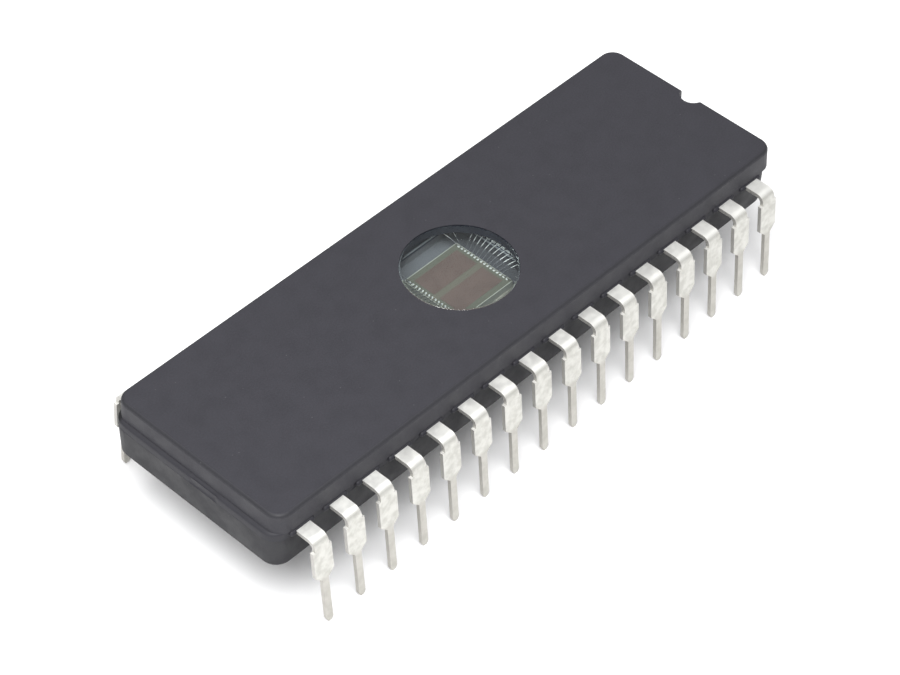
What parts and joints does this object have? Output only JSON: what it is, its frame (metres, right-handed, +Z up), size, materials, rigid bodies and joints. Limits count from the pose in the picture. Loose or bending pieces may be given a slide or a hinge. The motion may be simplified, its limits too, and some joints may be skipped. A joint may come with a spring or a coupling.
{
  "type": "windowed memory chip",
  "caption": "Ceramic dual in-line memory chip with a round window over the die, bond wires, a lead frame fanned inside a glass seal and bent, splayed leads.",
  "frame": {"origin": "middle of the body, at the level of the lead tips", "axes": "+X along the body towards the index notch, +Z up out of the window face, +Y towards the row that starts with lead_01"},
  "size_m": [0.0424, 0.017, 0.0084],
  "materials": {
    "base_ceramic": "matte black alumina, fine grain",
    "cap_ceramic": "matte black alumina, fine grain",
    "window_glass": "clear, polished",
    "seal_glass": "dark, opaque, satin",
    "silicon": "polished, patterned",
    "die_attach": "matte",
    "bond_wire": "bright drawn wire",
    "lead_metal": "matt tin plate"
  },
  "bodies": {
    "root": {"ceramic_base": "base_ceramic", "ceramic_cap": "cap_ceramic", "window_lens": "window_glass", "seal_glass": "seal_glass", "silicon_die": "silicon", "die_attach": "die_attach", "bond_wires_front": "bond_wire", "bond_wires_back": "bond_wire", "lead_01": "lead_metal", "lead_02": "lead_metal", "lead_03": "lead_metal", "lead_04": "lead_metal", "lead_05": "lead_metal", "lead_06": "lead_metal", "lead_07": "lead_metal", "lead_08": "lead_metal", "lead_09": "lead_metal", "lead_10": "lead_metal", "lead_11": "lead_metal", "lead_12": "lead_metal", "lead_13": "lead_metal", "lead_14": "lead_metal", "lead_15": "lead_metal", "lead_16": "lead_metal", "lead_17": "lead_metal", "lead_18": "lead_metal", "lead_19": "lead_metal", "lead_20": "lead_metal", "lead_21": "lead_metal", "lead_22": "lead_metal", "lead_23": "lead_metal", "lead_24": "lead_metal", "lead_25": "lead_metal", "lead_26": "lead_metal", "lead_27": "lead_metal", "lead_28": "lead_metal", "lead_29": "lead_metal", "lead_30": "lead_metal", "lead_31": "lead_metal", "lead_32": "lead_metal"}
  },
  "joints": []
}
